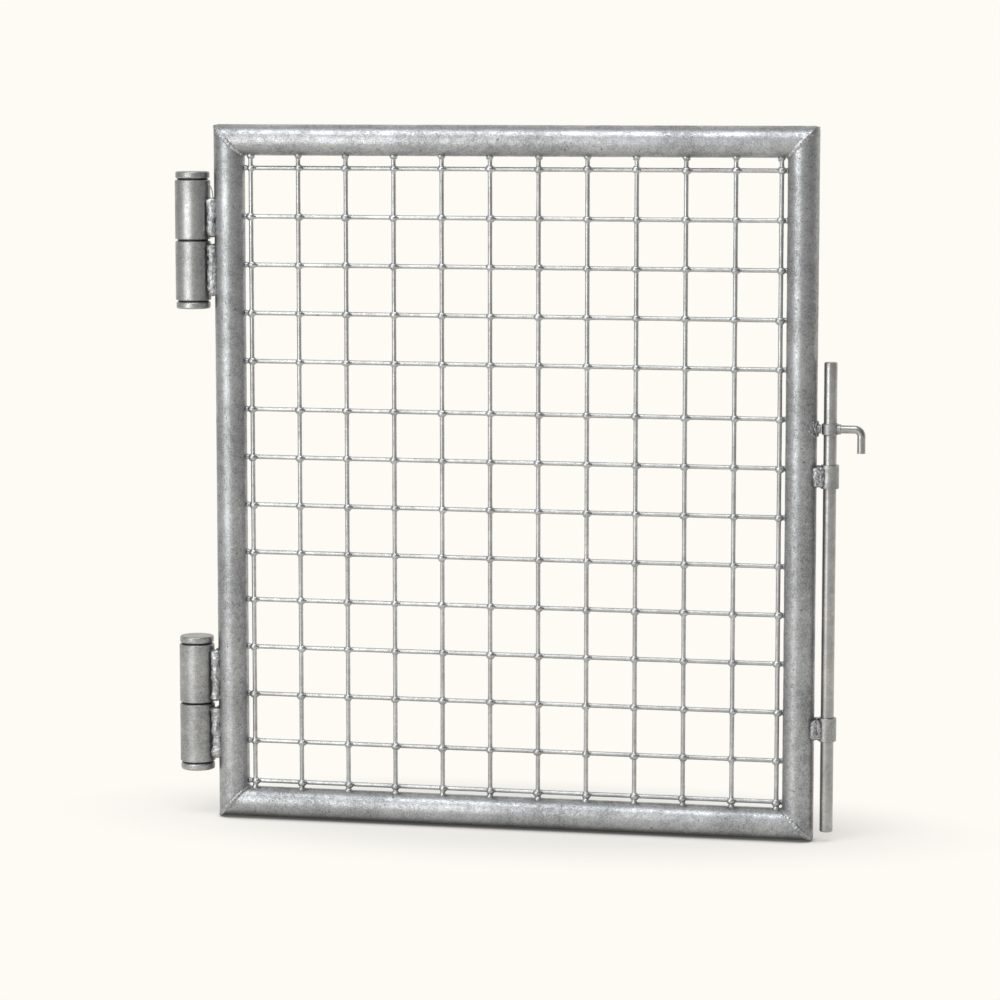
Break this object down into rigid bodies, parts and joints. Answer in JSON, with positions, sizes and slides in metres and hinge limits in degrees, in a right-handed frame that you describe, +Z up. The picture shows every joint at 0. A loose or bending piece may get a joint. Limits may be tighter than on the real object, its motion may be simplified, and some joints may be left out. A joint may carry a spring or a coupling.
{
  "type": "mesh gate",
  "caption": "Galvanised round-tube gate leaf with welded wire mesh, barrel hinges on pins and a drop bolt that slides in welded guides.",
  "frame": {"origin": "on the axis of the hinge pins, on the bottom face of the lower hinge's foot cap, where a post's bracket carries the gate", "axes": "+X runs along the shut leaf from the hinges to the drop bolt, -Y is the front, on the side of the upright wires, and +Z is up"},
  "size_m": [1.0757, 0.055, 1.0866],
  "materials": {
    "galvanised_tube": "hot-dip galvanised, fine dull spangle",
    "galvanised_wire": "hot-dip galvanised wire",
    "galvanised_fittings": "hot-dip galvanised, satin",
    "weld": "lumpy weld metal under zinc",
    "dark_steel": "dark, greased"
  },
  "bodies": {
    "hinge_pins": {"lower_hinge_pin": "dark_steel", "lower_hinge_foot_cap": "galvanised_fittings", "lower_hinge_head_cap": "galvanised_fittings", "lower_hinge_foot_washer": "dark_steel", "lower_hinge_head_washer": "dark_steel", "upper_hinge_pin": "dark_steel", "upper_hinge_foot_cap": "galvanised_fittings", "upper_hinge_head_cap": "galvanised_fittings", "upper_hinge_foot_washer": "dark_steel", "upper_hinge_head_washer": "dark_steel"},
    "leaf": {"hinge_stile": "galvanised_tube", "latch_stile": "galvanised_tube", "top_rail": "galvanised_tube", "bottom_rail": "galvanised_tube", "mesh_panel": "galvanised_wire", "mitre_weld_top_left": "weld", "mitre_weld_top_right": "weld", "mitre_weld_bottom_left": "weld", "mitre_weld_bottom_right": "weld", "lower_hinge_lower_knuckle": "galvanised_fittings", "lower_hinge_upper_knuckle": "galvanised_fittings", "lower_hinge_middle_washer": "dark_steel", "lower_hinge_lower_weld": "weld", "lower_hinge_upper_weld": "weld", "upper_hinge_lower_knuckle": "galvanised_fittings", "upper_hinge_upper_knuckle": "galvanised_fittings", "upper_hinge_middle_washer": "dark_steel", "upper_hinge_lower_weld": "weld", "upper_hinge_upper_weld": "weld", "rest_stub": "galvanised_fittings", "rest_stub_weld": "weld", "upper_guide": "galvanised_fittings", "lower_guide": "galvanised_fittings", "upper_guide_weld": "weld", "lower_guide_weld": "weld"},
    "bolt": {"bolt_rod": "galvanised_fittings"},
    "handle": {"handle_collar": "galvanised_fittings", "bolt_handle": "galvanised_fittings"}
  },
  "joints": [
    {"name": "gate_swing", "type": "hinge", "parent": "hinge_pins", "child": "leaf", "pos_m": [0, 0, 0], "axis": [0, 0, 1], "range_deg": [-90, 90]},
    {"name": "bolt_slide", "type": "slide", "parent": "leaf", "child": "bolt", "axis": [0, 0, 1], "range_m": [-0.04, 0]},
    {"name": "handle_turn", "type": "hinge", "parent": "bolt", "child": "handle", "pos_m": [0.995, 0, 0.558], "axis": [0, 0, 1], "range_deg": [-120, 120]}
  ]
}
